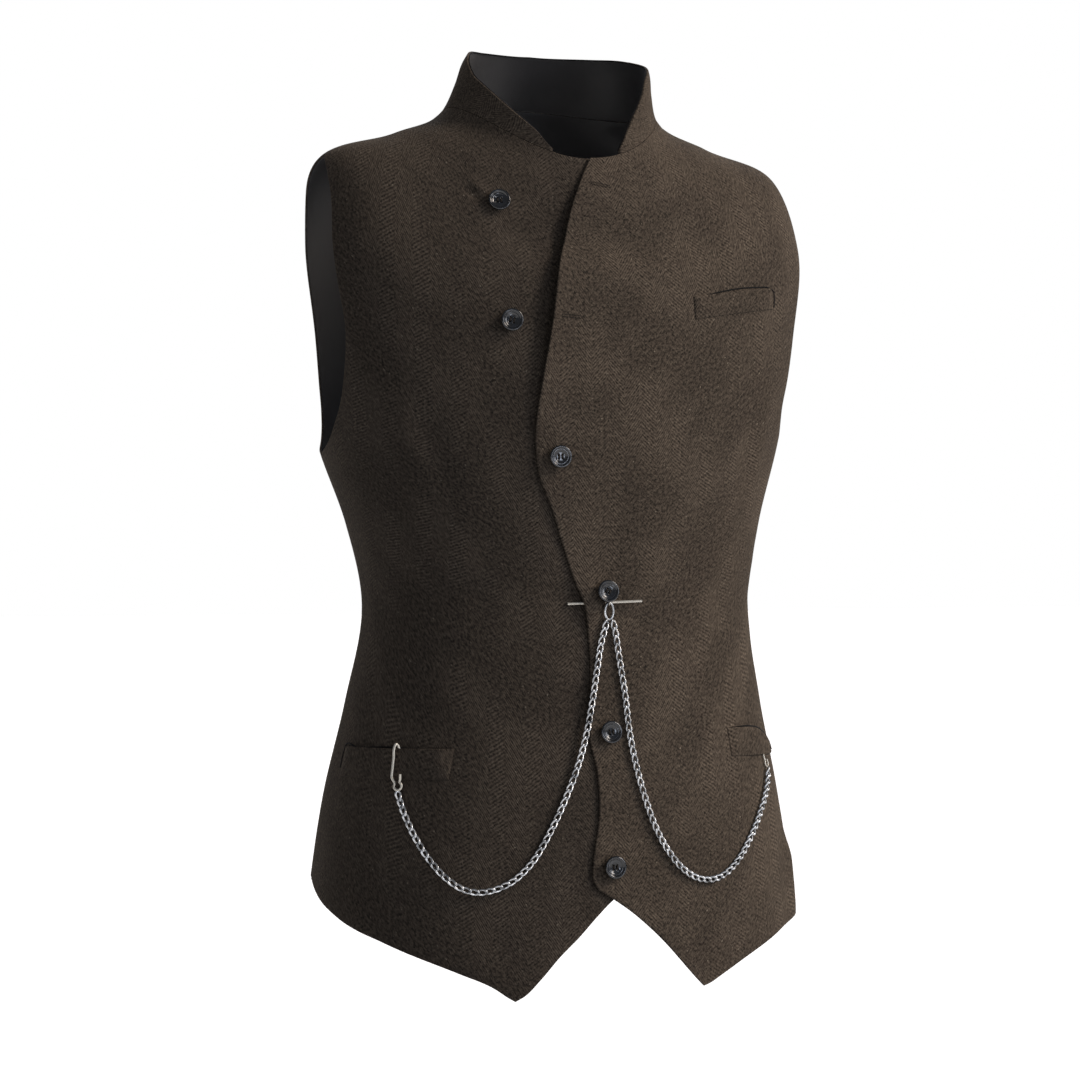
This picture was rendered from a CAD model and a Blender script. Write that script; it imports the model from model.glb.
"""Herringbone tweed vest: the looks that ride on the fixed model of its pieces.

Run it as a script. Every cloth piece is cut again on the form of the solids,
as a thin shell with soft creases; a place on the form is an angle round the
body, 0 at the centre front and positive towards the wearer's left, and a
station, the distance down the side line from the top of the collar.
Metres, +Z up, the front faces -Y.
"""

import math

import bmesh
import bpy
import numpy as np
from bpy.props import FloatProperty, IntProperty, StringProperty
from mathutils import Matrix, Vector


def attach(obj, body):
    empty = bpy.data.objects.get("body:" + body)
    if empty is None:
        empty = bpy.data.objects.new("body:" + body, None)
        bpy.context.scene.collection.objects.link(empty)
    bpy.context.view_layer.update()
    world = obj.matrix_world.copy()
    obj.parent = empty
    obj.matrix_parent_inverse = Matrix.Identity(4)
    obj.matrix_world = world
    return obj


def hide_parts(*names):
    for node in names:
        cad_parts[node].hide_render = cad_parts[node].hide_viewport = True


bl_info = {
    "name": "Tweed vest",
    "version": (1, 0, 0),
    "blender": (4, 5, 0),
    "location": "3D View > Sidebar > Vest",
    "description": "Builds the cloth, buttons and watch chain of a herringbone tweed vest",
    "category": "Object",
}

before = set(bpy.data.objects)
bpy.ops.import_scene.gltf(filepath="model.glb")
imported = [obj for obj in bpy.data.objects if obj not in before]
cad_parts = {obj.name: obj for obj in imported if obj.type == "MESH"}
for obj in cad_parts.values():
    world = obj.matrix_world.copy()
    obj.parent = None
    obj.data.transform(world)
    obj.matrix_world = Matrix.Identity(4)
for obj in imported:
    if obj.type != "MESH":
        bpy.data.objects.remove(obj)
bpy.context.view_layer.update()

MM = 0.001
# ---------------------------------------------------------------- the cloth
WALL = 2.0 * MM          # tweed and its backing
SEAM = 0.3 * MM          # gap between pieces that are sewn together
LAP = 2.6 * MM           # how far the left front stands out over the right
LAP_FULL_X = 22 * MM     # the lap keeps its height up to here
LAP_END_X = 75 * MM      # and has faded out here
LOOSE_RISE = 7.0 * MM    # the unbuttoned edge stands off by this much more
LOOSE_WIDTH = 16 * MM
LOOSE_TOP_Z = -30 * MM
LOOSE_END_Z = -235 * MM

# Girth lines of the figure, in millimetres. A girth dips towards the front
# and the back by its drop, and square is the power of its rounded outline.
GIRTH_COLUMNS = ("side_z", "half_width", "mid_y", "front", "back",
                 "front_drop", "back_drop", "square")
GIRTHS = {
    "collar_top":   (66, 67, -19, 57, 59, 58, -12, 2.00),
    "collar_roll":  (54, 73, -14, 64, 62, 58, -11, 2.00),
    "collar_mid":   (40, 76, -8, 71, 65, 54, -10, 2.00),
    "neckline":     (20, 83.2, 1, 81, 68, 44, -12, 2.00),
    "mid_shoulder": (-1, 125, 0, 89, 80, 50, 12, 2.00),
    "shoulder_tip": (-22, 183, 0, 97, 92, 68, 44, 2.10),
    "yoke":         (-75, 202, -1, 108, 103, 38, 30, 2.25),
    "across_chest": (-150, 197, -1, 115, 112, 12, 10, 2.35),
    "underarm":     (-234, 181, -1, 119, 110, 0, 0, 2.30),
    "ribs":         (-296, 162, -8, 110, 88, 0, 0, 2.30),
    "waist":        (-354, 152, -13, 102, 74, 0, 0, 2.30),
    "high_hip":     (-430, 163, -9, 110, 88, 0, 0, 2.30),
    "hip":          (-500, 178, -5, 121, 104, 0, 0, 2.30),
    "side_hem":     (-580, 189, -3, 128, 113, 0, 0, 2.30),
    "points":       (-670, 196, -3, 131, 119, 0, 0, 2.30),
}

GIRTH_RADIUS = 0.15      # a usual one, for evening out the grids

SIDE_SEAM = 96           # degrees from the centre front
SHOULDER_SEAM = 90
SHOULDER_END = {"right": 178.5 * MM, "left": 183 * MM}    # from the middle

# Armhole from the underarm up to the shoulder tip: height in mm, then the
# angle of the right front, the left front and the back.
ARMHOLE_COLUMNS = ("z", "right", "left", "back")
ARMHOLE = (
    (-243, 96.0, 96.0, 96.0),
    (-239, 90.5, 85.5, 101.5),
    (-232, 85.0, 77.5, 106.5),
    (-222, 81.0, 72.5, 109.5),
    (-208, 77.3, 70.0, 111.5),
    (-186, 74.5, 71.0, 112.5),
    (-156, 73.0, 72.0, 112.5),
    (-124, 74.0, 74.0, 111.0),
    (-90, 75.7, 77.5, 107.5),
    (-52, 79.2, 82.0, 101.5),
    (-29, 84.5, 86.5, 94.5),
)

# Front hem from the side seam to the point, then on to the centre front:
# angle, height on the right front, height on the left front.
HEM_COLUMNS = ("angle", "right", "left")
HEM_TO_POINT = (
    (96.0, -562.0, -572.0),
    (88.0, -573.0, -583.0),
    (76.0, -586.0, -593.5),
    (68.0, -594.5, -599.0),
    (58.0, -606.0, -607.5),
    (45.5, -620.0, -620.0),
    (36.2, -631.5, -631.5),
    (33.0, -637.5, -635.5),
    (31.0, -640.5, -637.0),
)
HEM_FROM_POINT = (
    (31.0, -640.5, -637.0),
    (28.8, -637.5, -631.5),
    (23.5, -624.7, -617.5),
    (18.0, -609.8, -603.5),
    (11.5, -595.5, -589.3),
    (5.5, -581.5, -578.0),
    (0.0, -570.3, -569.5),
)
HEM_HIDDEN_Z = (-563.0, -558.0)      # the right front's hem under the lap, in mm
HEM_HIDDEN_SHARE = 0.55  # the first of these lies this far towards the under edge
BACK_HEM_Z = -553 * MM

# Free edge of the left front from the neck down: x and z in mm.
LAP_EDGE = (
    (1.6, -24.5),
    (-8.5, -42.0),
    (-20.3, -68.4),
    (-33.4, -104.9),
    (-43.0, -150.0),
    (-51.4, -195.0),
    (-55.2, -222.0),
    (-55.0, -246.0),
    (-52.0, -263.0),
    (-44.2, -281.5),
    (-34.9, -309.5),
    (-25.9, -334.5),
    (-17.5, -355.0),
    (-14.0, -381.0),
    (-13.2, -404.0),
    (-14.0, -424.0),
    (-14.8, -457.0),
    (-11.2, -473.0),
    (-9.6, -495.0),
    (-10.4, -513.0),
    (-13.4, -529.5),
    (-15.8, -544.5),
    (-15.6, -555.5),
    (-11.5, -562.5),
    (-5.5, -566.0),
    (0.0, -569.5),
)
UNDER_EDGE_X = 18 * MM   # the right front ends here, under the lap
UNDER_EDGE_TOP_X = 10 * MM
UNDER_EDGE_TOP_Z = -30 * MM

COLLAR_FRONT = 19        # degrees from the centre front to the collar's ends
# Top edge of the collar: degrees from the centre front, then its height in mm
# on the right and on the left. The ends run out into the fronts' neckline.
COLLAR_TOP = (
    (19, -17.6, -16.8),
    (24, -11.6, -9.0),
    (29, -5.0, -0.6),
    (35, 1.4, 8.4),
    (43, 9.6, 18.6),
    (51, 17.8, 29.2),
    (60, 26.9, 41.0),
    (68, 34.3, 48.0),
    (76, 41.3, 53.0),
    (84, 50.0, 57.0),
    (92, 57.5, 60.0),
    (100, 62.0, 62.5),
    (113, 66.0, 66.0),
    (135, 69.0, 69.0),
    (180, 71.0, 71.0),
)
FINE = 6                 # how much finer the grids are than the solids' own
NECK_CELLS = {"front": 8 * FINE, "back": 18 * FINE}     # cells along the collar's seam

# ------------------------------------------------------------- the pockets
WELT_WALL = 1.6 * MM
# name: front, corners from the lower inner one round by the lower outer one, as
# degrees and z in mm, then how far its mouth and its outer end stand open.
WELTS = {
    "welt_breast": (
        "left", ((34.5, -144.0), (60.8, -132.5), (60.6, -116.5), (34.8, -127.0)),
        0.5 * MM, 0.0),
    "welt_hip_right": (
        "right", ((-50.8, -481.5), (-85.0, -483.0), (-85.5, -461.0), (-50.3, -459.0)),
        2.8 * MM, 0.0),
    "welt_hip_left": (
        "left", ((47.8, -470.0), (70.0, -472.0), (70.0, -450.5), (47.8, -448.5)),
        2.4 * MM, 2.6 * MM),
}
WELT_LOOSE = (0.10, 0.55)    # shares of its length between which that end lifts

# ------------------------------------------------------------- the buttons
SHANK_R = 2.0 * MM
# name: (x, z in mm, sits on, shank in mm, tilt in degrees, extra lift in mm)
BUTTONS = {
    "button_1": (-71.5, -59.6, "right", 1.2, 0, 0.0),
    "button_2": (-71.5, -148.7, "right", 1.2, 0, 0.0),
    "button_3": (-38.0, -247.3, "left", 1.2, 0, 0.0),
    "button_4": (-1.0, -345.6, "left", 1.9, 9, 0.8),
    "button_5": (0.0, -448.6, "left", 1.2, 0, 0.05),
    "button_6": (0.0, -546.0, "left", 1.2, 0, 0.0),
}

# ----------------------------------------------------------- the watch chain
BUMP_X = -11.0 * MM      # the lap is lifted over the T-bar's hidden end
BUMP_Z = -353.5 * MM
BUMP_RISE = 3.7 * MM
BUMP_WIDTH = 9 * MM
BUMP_HEIGHT = 15 * MM
DENT_X = -29 * MM        # and the right front gives way under it
DENT_DEPTH = 2.0 * MM
DENT_WIDTH = 13 * MM
BAIL_WIRE_R = 0.85 * MM
BAIL_HALF_WIDE = 3.3 * MM
BAIL_HALF_TALL = 6.1 * MM
HOOK_WIRE_R = 0.95 * MM
THIN_HOOK_R = 0.6 * MM    # the left hook, which lies flat behind its welt
RING_R = 3.0 * MM
# Middle of each hook's ring: x, z and height over the form, in mm.
HOOK_RINGS = {"hook_right": (-146.6, -486.8, 3.4), "hook_left": (146.4, -478.0, 1.25)}

# Shank and tail of each hook, as x, z and height over the form in mm: the right
# one goes over its welt into the pocket, the left one comes out behind its welt.
HOOK_SHANKS = {
    "hook_right": ((-144.9, -463.0, 1.1), (-145.0, -459.6, 1.1), (-145.2, -457.4, 2.2),
                   (-145.6, -457.0, 3.6), (-146.1, -459.0, 4.6), (-147.2, -467.0, 4.6),
                   (-148.4, -475.0, 4.5), (-149.2, -481.0, 4.2)),
    "hook_left": ((144.8, -457.0, 0.75), (144.2, -464.0, 0.75), (143.8, -473.0, 0.95)),
}
HOOK_TAILS = {"hook_right": ((-145.0, -482.2, 3.6), (-144.4, -478.4, 4.3))}

# Route of each chain: x and z in mm, and its height over the form in mm.
CHAIN_RIGHT = (
    (-1.1, -367.3, 5.8),
    (-3.0, -374.0, 5.8),
    (-5.4, -382.7, 5.4),
    (-8.8, -401.1, 5.0),
    (-12.6, -421.8, 5.0),
    (-19.2, -451.4, 4.9),
    (-26.0, -473.0, 3.8),
    (-32.6, -489.0, 2.8),
    (-41.2, -507.4, 2.3),
    (-50.5, -524.5, 2.2),
    (-62.3, -542.0, 2.2),
    (-77.0, -555.0, 2.2),
    (-90.9, -560.6, 2.2),
    (-99.8, -561.6, 2.2),
    (-109.0, -559.4, 2.2),
    (-119.9, -551.6, 2.2),
    (-130.9, -537.5, 2.2),
    (-139.5, -520.0, 2.4),
    (-144.6, -504.0, 2.9),
    (-147.0, -491.3, 3.3),
)
CHAIN_LEFT = (
    (3.5, -367.2, 5.8),
    (5.6, -376.5, 5.6),
    (7.6, -389.6, 5.2),
    (9.8, -404.6, 5.1),
    (12.2, -421.8, 5.0),
    (14.4, -446.0, 5.0),
    (18.4, -470.7, 5.0),
    (24.4, -494.7, 5.0),
    (33.2, -518.9, 4.7),
    (43.3, -536.3, 4.1),
    (55.8, -550.0, 3.3),
    (66.6, -556.6, 2.7),
    (78.3, -559.2, 2.2),
    (90.7, -557.1, 2.2),
    (103.8, -549.0, 2.2),
    (119.0, -532.4, 2.2),
    (131.4, -514.2, 2.4),
    (142.2, -494.6, 2.6),
    (146.0, -482.6, 2.6),
)

# ================================================================ the form
TINY = 1e-4              # step in radians or metres, for slopes of the form


def smooth(knots, values, where):
    """Cubic curve through the values at the knots."""
    knots = np.asarray(knots, float)
    values = np.asarray(values, float)
    run = np.diff(knots)
    rise = np.diff(values) / run
    slope = np.empty_like(values)
    slope[1:-1] = (rise[:-1] * run[1:] + rise[1:] * run[:-1]) / (run[1:] + run[:-1])
    slope[0], slope[-1] = rise[0], rise[-1]
    where = np.asarray(where, float)
    k = np.clip(np.searchsorted(knots, where) - 1, 0, len(run) - 1)
    f = (where - knots[k]) / run[k]
    g = 1 - f
    return ((1 + 2 * f) * g * g * values[k] + f * g * g * run[k] * slope[k]
            + f * f * (3 - 2 * f) * values[k + 1] - f * f * g * run[k] * slope[k + 1])


def fade(value):
    """0 to 1 with soft ends."""
    value = np.clip(value, 0, 1)
    return value * value * (3 - 2 * value)


def girth_columns():
    """The table as arrays in metres, and the station of each girth line."""
    rows = np.array(list(GIRTHS.values()), float)
    rows[:, :-1] *= MM
    columns = dict(zip(GIRTH_COLUMNS, rows.T))
    step = np.hypot(np.diff(columns["side_z"]), np.diff(columns["half_width"]))
    return columns, np.concatenate([[0.0], np.cumsum(step)])


GIRTH, STATIONS = girth_columns()
GIRTH_NAMES = list(GIRTHS)
NECK_T = STATIONS[GIRTH_NAMES.index("neckline")]
TIP_T = {side: float(np.interp(reach, GIRTH["half_width"][:6], STATIONS[:6]))
         for side, reach in SHOULDER_END.items()}


def form(angle, station):
    """Point of the form at an angle in radians and a station."""
    angle, station = np.broadcast_arrays(np.asarray(angle, float), np.asarray(station, float))
    ahead, aside = np.cos(angle), np.sin(angle)
    at = {name: smooth(STATIONS, GIRTH[name], station) for name in GIRTH_COLUMNS}
    depth = np.where(ahead >= 0, at["front"], at["back"])
    drop = np.where(ahead >= 0, at["front_drop"], at["back_drop"])
    power = at["square"]
    reach = ((np.abs(aside) / at["half_width"]) ** power
             + (np.abs(ahead) / depth) ** power) ** (-1 / power)
    x = reach * aside
    z = at["side_z"] - drop * (reach * ahead / depth) ** 2
    return np.stack([x, at["mid_y"] - reach * ahead, z], -1)


def outward(angle, station):
    """Unit normal of the form."""
    round_body = form(angle + TINY, station) - form(angle - TINY, station)
    down = form(angle, station + TINY) - form(angle, station - TINY)
    normal = np.cross(down, round_body)
    return normal / np.linalg.norm(normal, axis=-1, keepdims=True)


def skin(angle, station, out):
    """Point at a height over the form."""
    return form(angle, station) + outward(angle, station) * np.asarray(out, float)[..., None]


SEARCH_STEPS = 30


def station_at(angle, z):
    """Station of the form at an angle and a height."""
    angle, z = np.broadcast_arrays(np.asarray(angle, float), np.asarray(z, float))
    low = np.full(angle.shape, STATIONS[0])
    high = np.full(angle.shape, STATIONS[-1])
    for _ in range(SEARCH_STEPS):
        middle = (low + high) / 2
        above = form(angle, middle)[..., 2] > z
        low = np.where(above, middle, low)
        high = np.where(above, high, middle)
    return (low + high) / 2


def place(x, z):
    """Angle and station of the front's point at x and z in metres."""
    x, z = np.broadcast_arrays(np.asarray(x, float), np.asarray(z, float))
    low = np.full(x.shape, -math.pi / 2)
    high = np.full(x.shape, math.pi / 2)
    for _ in range(SEARCH_STEPS):
        angle = (low + high) / 2
        left_of = form(angle, station_at(angle, z))[..., 0] < x
        low = np.where(left_of, angle, low)
        high = np.where(left_of, high, angle)
    return angle, station_at(angle, z)


# ================================================= heights over the form
def lap_edge_x(z):
    """x of the left front's free edge at a height."""
    rows = np.array(LAP_EDGE) * MM
    return np.interp(-z, -rows[:, 1], rows[:, 0])


def left_height(angle, station):
    """Outer face of the left front over the form."""
    point = form(angle, station)
    x, z = point[..., 0], point[..., 2]
    ahead = point[..., 1] < 0
    lap = LAP * fade((LAP_END_X - x) / (LAP_END_X - LAP_FULL_X))
    along = np.clip((LOOSE_TOP_Z - z) / (LOOSE_TOP_Z - LOOSE_END_Z), 0, 1)
    from_edge = np.maximum(x - lap_edge_x(z), 0)
    loose = LOOSE_RISE * np.sin(math.pi * along) * np.exp(-from_edge / LOOSE_WIDTH)
    bump = BUMP_RISE * np.exp(-((x - BUMP_X) / BUMP_WIDTH) ** 2
                              - ((z - BUMP_Z) / BUMP_HEIGHT) ** 2)
    return np.where(ahead, lap + loose + bump, 0.0)


def right_height(angle, station):
    """Outer face of the right front over the form."""
    point = form(angle, station)
    x, z = point[..., 0], point[..., 2]
    return -DENT_DEPTH * np.exp(-((x - DENT_X) ** 2 + (z - BUMP_Z) ** 2) / DENT_WIDTH ** 2)


def flat_height(angle, station):
    """Outer face of the back: the form itself."""
    return np.zeros(np.shape(station))


def collar_height(angle, station):
    """Outer face of the collar: only its left end follows the lap."""
    on_left = form(angle, station)[..., 0] > 0
    return np.where(on_left, left_height(angle, station), 0.0)


HEIGHTS = {"left": left_height, "right": right_height, "back": flat_height,
           "collar": collar_height}


# ============================================================ pattern edges
SIDES = {-1: "right", 1: "left"}
CROWD = 0.45             # how much closer the grid lines lie near the shoulders
LINE_POINTS = 60         # points of a plain edge before it is spread
SIDE_POINTS = 40
ARMHOLE_POINTS = 120
LAP_POINTS = 240
COARSE_ROUNDS, FINE_ROUNDS = 400, 80    # of evening out a grid


def reach_along(points):
    """How far along a line each of its points lies."""
    return np.concatenate([[0.0], np.cumsum(np.linalg.norm(np.diff(points, axis=0), axis=1))])


def soft_line(rows, count=LINE_POINTS):
    """Dense curve through rows of (angle, station)."""
    rows = np.asarray(rows, float)
    along = reach_along(form(rows[:, 0], rows[:, 1]))
    where = np.linspace(0, along[-1], count)
    return np.stack([smooth(along, rows[:, 0], where), smooth(along, rows[:, 1], where)], -1)


def spread(line, count, crowd=0.0):
    """The line in count steps on the form, equal or crowded near its end."""
    along = reach_along(form(line[:, 0], line[:, 1]))
    share = np.linspace(0, 1, count + 1)
    where = along[-1] * (share + crowd * share * (1 - share))
    return np.stack([np.interp(where, along, line[:, 0]), np.interp(where, along, line[:, 1])], -1)


def joined(*parts):
    """Several spread lines end to end, as one edge of a grid."""
    return np.concatenate([parts[0]] + [part[1:] for part in parts[1:]])


def degrees_and_z(rows):
    """Rows of (angle in degrees, height in mm) as (angle, station)."""
    rows = np.asarray(rows, float)
    angle = np.radians(rows[:, 0])
    return np.stack([angle, station_at(angle, rows[:, 1] * MM)], -1)


def set_in(line, side, by):
    """The line moved round the body by a distance on the form."""
    per_radian = np.linalg.norm(form(line[:, 0] + TINY, line[:, 1])
                                - form(line[:, 0], line[:, 1]), axis=-1) / TINY
    return np.stack([line[:, 0] + side * by / per_radian, line[:, 1]], -1)


def set_down(line, by):
    """The line moved down the body by a distance on the form."""
    step = TINY / 10
    per_metre = np.linalg.norm(form(line[:, 0], line[:, 1] + step)
                               - form(line[:, 0], line[:, 1]), axis=-1) / step
    return np.stack([line[:, 0], line[:, 1] + by / per_metre], -1)


def armhole(column, side):
    """Armhole edge from the underarm to the shoulder tip."""
    rows = [(side * row[column], row[0]) for row in ARMHOLE]
    line = degrees_and_z(rows)
    tip = (side * math.radians(SHOULDER_SEAM), TIP_T[SIDES[side]])
    return soft_line(np.vstack([line, tip]), ARMHOLE_POINTS)


def shoulder(side):
    """Shoulder seam from its tip up to the neck."""
    angle = side * math.radians(SHOULDER_SEAM)
    return np.array([(angle, t) for t in np.linspace(TIP_T[SIDES[side]], NECK_T, LINE_POINTS)])


def neckline(start, end, count):
    """Neckline between two angles in radians, in count equal steps."""
    line = np.array([(angle, NECK_T) for angle in np.linspace(start, end, LINE_POINTS)])
    return spread(line, count)


def collar_seam(side):
    """A front's neckline from the shoulder seam to the collar's end."""
    start, end = math.radians(SHOULDER_SEAM), math.radians(COLLAR_FRONT)
    return neckline(side * start, side * end, NECK_CELLS["front"])


def back_neckline():
    """The back's neckline from the left shoulder seam to the right one."""
    start = math.radians(SHOULDER_SEAM)
    return neckline(start, 2 * math.pi - start, NECK_CELLS["back"])


def side_seam(side, hem_z):
    """Side seam from the hem up to the underarm."""
    angle = side * math.radians(SIDE_SEAM)
    stations = np.linspace(station_at(angle, hem_z), station_at(angle, ARMHOLE[0][0] * MM),
                           SIDE_POINTS)
    return np.array([(angle, t) for t in stations])


def coons(low, inner, top, outer):
    """Grid between four edges, with no evening out."""
    u = np.linspace(0, 1, len(low))[:, None, None]
    v = np.linspace(0, 1, len(outer))[None, :, None]
    return ((1 - v) * low[:, None] + v * top[:, None]
            + (1 - u) * outer[None] + u * inner[None]
            - (1 - u) * (1 - v) * low[0] - u * (1 - v) * low[-1]
            - (1 - u) * v * top[0] - u * v * top[-1])


def relax(grid, rounds):
    """Even out the inside of a grid as an elliptic grid does."""
    for _ in range(rounds):
        along = (grid[2:, 1:-1] - grid[:-2, 1:-1]) / 2
        upward = (grid[1:-1, 2:] - grid[1:-1, :-2]) / 2
        a = (upward * upward).sum(-1, keepdims=True)
        b = (along * upward).sum(-1, keepdims=True)
        c = (along * along).sum(-1, keepdims=True)
        twist = (grid[2:, 2:] - grid[2:, :-2] - grid[:-2, 2:] + grid[:-2, :-2]) / 4
        grid[1:-1, 1:-1] = (a * (grid[2:, 1:-1] + grid[:-2, 1:-1])
                            + c * (grid[1:-1, 2:] + grid[1:-1, :-2])
                            - 2 * b * twist) / (2 * (a + c))
    return grid


def finer(grid, axis):
    """The grid with FINE times as many cells along an axis."""
    old = np.arange(grid.shape[axis])
    new = np.linspace(0, old[-1], old[-1] * FINE + 1)
    return np.apply_along_axis(lambda line: smooth(old, line, new), axis, grid)


def patch(low, inner, top, outer):
    """Grid of (angle, station) inside four edges, evened out without folds.

    low and top run from the outer edge to the inner one, and outer and
    inner run upwards. It is evened out coarse first and then fine.
    """
    scale = (GIRTH_RADIUS, 1.0)
    edges = [line * scale for line in (low, inner, top, outer)]
    grid = relax(coons(*(line[::FINE] for line in edges)), COARSE_ROUNDS)
    grid = finer(finer(grid, 0), 1)
    grid[:, 0], grid[-1], grid[:, -1], grid[0] = edges
    return relax(grid, FINE_ROUNDS) / scale


def front_patch(name, shape):
    """Grid of a front: name is right or left, shape its cell counts."""
    side = -1 if name == "right" else 1
    column = HEM_COLUMNS.index(name)
    outer_hem = degrees_and_z([(side * row[0], row[column]) for row in HEM_TO_POINT])
    inner_hem = [(side * row[0], row[column]) for row in HEM_FROM_POINT]
    if name == "right":
        middle_z, end_z = HEM_HIDDEN_Z
        end = math.degrees(place(UNDER_EDGE_X, end_z * MM)[0])
        inner_hem += [(end * HEM_HIDDEN_SHARE, middle_z), (end, end_z)]
        heights = np.linspace(end_z * MM, UNDER_EDGE_TOP_Z, SIDE_POINTS)
        xs = np.linspace(UNDER_EDGE_X, UNDER_EDGE_TOP_X, SIDE_POINTS)
        angles, stations = place(xs, heights)
        corner = np.array([[angles[-1], NECK_T]])
        free_edge = np.vstack([np.stack([angles, stations], -1), corner])
    else:
        rows = np.array(LAP_EDGE[::-1]) * MM
        angles, stations = place(rows[:, 0], rows[:, 1])
        stations[-1] = NECK_T
        free_edge = soft_line(np.stack([angles, stations], -1), LAP_POINTS)
    inner_line = degrees_and_z(inner_hem)
    inner_line[-1] = free_edge[0]
    low = joined(spread(soft_line(outer_hem), shape["hem_outer"]),
                 spread(soft_line(inner_line), shape["hem_inner"]))
    outer = joined(spread(side_seam(side, HEM_TO_POINT[0][column] * MM), shape["side"]),
                   spread(armhole(ARMHOLE_COLUMNS.index(name), side), shape["armhole"], CROWD))
    inner = spread(free_edge, shape["side"] + shape["armhole"], CROWD)
    seam_end = side * math.radians(COLLAR_FRONT)
    top = joined(set_in(spread(shoulder(side), shape["shoulder"]), -side, SEAM / 2),
                 collar_seam(side), neckline(seam_end, free_edge[-1][0], shape["neck"]))
    outer = set_in(outer, -side, SEAM / 2)
    top = set_down(top, SEAM / 2)
    low[0], top[0] = outer[0], outer[-1]
    inner[0], inner[-1] = low[-1], top[-1]
    return patch(low, inner, top, outer)


def back_patch(shape):
    """Grid of the back, from the right side seam round to the left one."""
    turn = 2 * math.pi
    left_arm = armhole(ARMHOLE_COLUMNS.index("back"), 1)
    right_arm = armhole(ARMHOLE_COLUMNS.index("back"), -1) + (turn, 0)
    right_side = side_seam(-1, HEM_TO_POINT[0][1] * MM) + (turn, 0)
    left_side = side_seam(1, HEM_TO_POINT[0][2] * MM)
    outer = joined(spread(left_side, shape["side"]), spread(left_arm, shape["armhole"], CROWD))
    inner = joined(spread(right_side, shape["side"]),
                   spread(right_arm, shape["armhole"], CROWD))
    outer = set_in(outer, 1, SEAM / 2)
    inner = set_in(inner, -1, SEAM / 2)
    share = np.linspace(0, 1, LINE_POINTS + 1)
    hem_angle = outer[0, 0] + (inner[0, 0] - outer[0, 0]) * share
    right_z, left_z = (z * MM for z in HEM_TO_POINT[0][1:])
    side_z = left_z + (right_z - left_z) * share
    hem_z = side_z + (BACK_HEM_Z - side_z) * np.sin(math.pi * share)
    low = spread(np.stack([hem_angle, station_at(hem_angle, hem_z)], -1),
                 2 * shape["shoulder"] + NECK_CELLS["back"])
    left_top = set_in(spread(shoulder(1), shape["shoulder"]), 1, SEAM / 2)
    right_top = set_in(spread(shoulder(-1) + (turn, 0), shape["shoulder"]), -1, SEAM / 2)[::-1]
    neck = back_neckline()
    neck[0], neck[-1] = left_top[-1], right_top[0]
    top = joined(left_top, neck, right_top)
    top = set_down(top, SEAM / 2)
    low[0], low[-1] = outer[0], inner[0]
    outer[-1], inner[-1] = top[0], top[-1]
    return patch(low, inner, top, outer)


def collar_patch(up):
    """Grid of the stand collar, from its left end round the back to its right."""
    right_seam = collar_seam(-1) + (2 * math.pi, 0)
    low = joined(collar_seam(1)[::-1], back_neckline(), right_seam)
    rows = np.array(COLLAR_TOP)
    around = np.degrees(low[:, 0])
    from_front = np.where(around <= 180, around, 360 - around)
    heights = [smooth(rows[:, 0], rows[:, column], from_front) for column in (1, 2)]
    top_z = np.where(around > 180, *heights) * MM
    top = np.stack([low[:, 0], station_at(low[:, 0], top_z)], -1)
    low = set_down(low, -SEAM / 2)
    share = np.linspace(0, 1, up + 1)[None, :, None]
    return low[:, None] * (1 - share) + top[:, None] * share


def wall_below(outer):
    """Inner face of a cloth whose outer face is given."""
    return lambda angle, station: outer(angle, station) - WALL


# ======================================================== the cut of the cloth
LENGTH_ANGLES = np.linspace(-math.pi, 2 * math.pi, 541)
LENGTH_STATIONS = np.linspace(0.0, STATIONS[-1], 300)
ZERO_ROW = 180           # the row of LENGTH_ANGLES at angle 0
BACK_MIDDLE = math.pi


def length_tables():
    """How far each place on the form lies round the body and down it."""
    points = form(LENGTH_ANGLES[:, None], LENGTH_STATIONS[None, :])
    around = np.zeros(points.shape[:2])
    down = np.zeros(points.shape[:2])
    around[1:] = np.cumsum(np.linalg.norm(np.diff(points, axis=0), axis=-1), axis=0)
    down[:, 1:] = np.cumsum(np.linalg.norm(np.diff(points, axis=1), axis=-1), axis=1)
    return around - around[ZERO_ROW], down


AROUND, DOWN = length_tables()


def look_up(table, angle, station):
    """Value of a length table at angles and stations."""
    row = np.interp(angle, LENGTH_ANGLES, np.arange(len(LENGTH_ANGLES)))
    column = np.interp(station, LENGTH_STATIONS, np.arange(len(LENGTH_STATIONS)))
    r = np.minimum(row.astype(int), len(LENGTH_ANGLES) - 2)
    c = np.minimum(column.astype(int), len(LENGTH_STATIONS) - 2)
    f, g = row - r, column - c
    return ((1 - f) * ((1 - g) * table[r, c] + g * table[r, c + 1])
            + f * ((1 - g) * table[r + 1, c] + g * table[r + 1, c + 1]))


def cut_place(angle, station, middle):
    """Metres across and along the flat cloth, from a grain line at an angle."""
    across = (look_up(AROUND, angle, station)
              - look_up(AROUND, np.full_like(angle, middle), station))
    return np.stack([across, -look_up(DOWN, angle, station)], -1)


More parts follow.
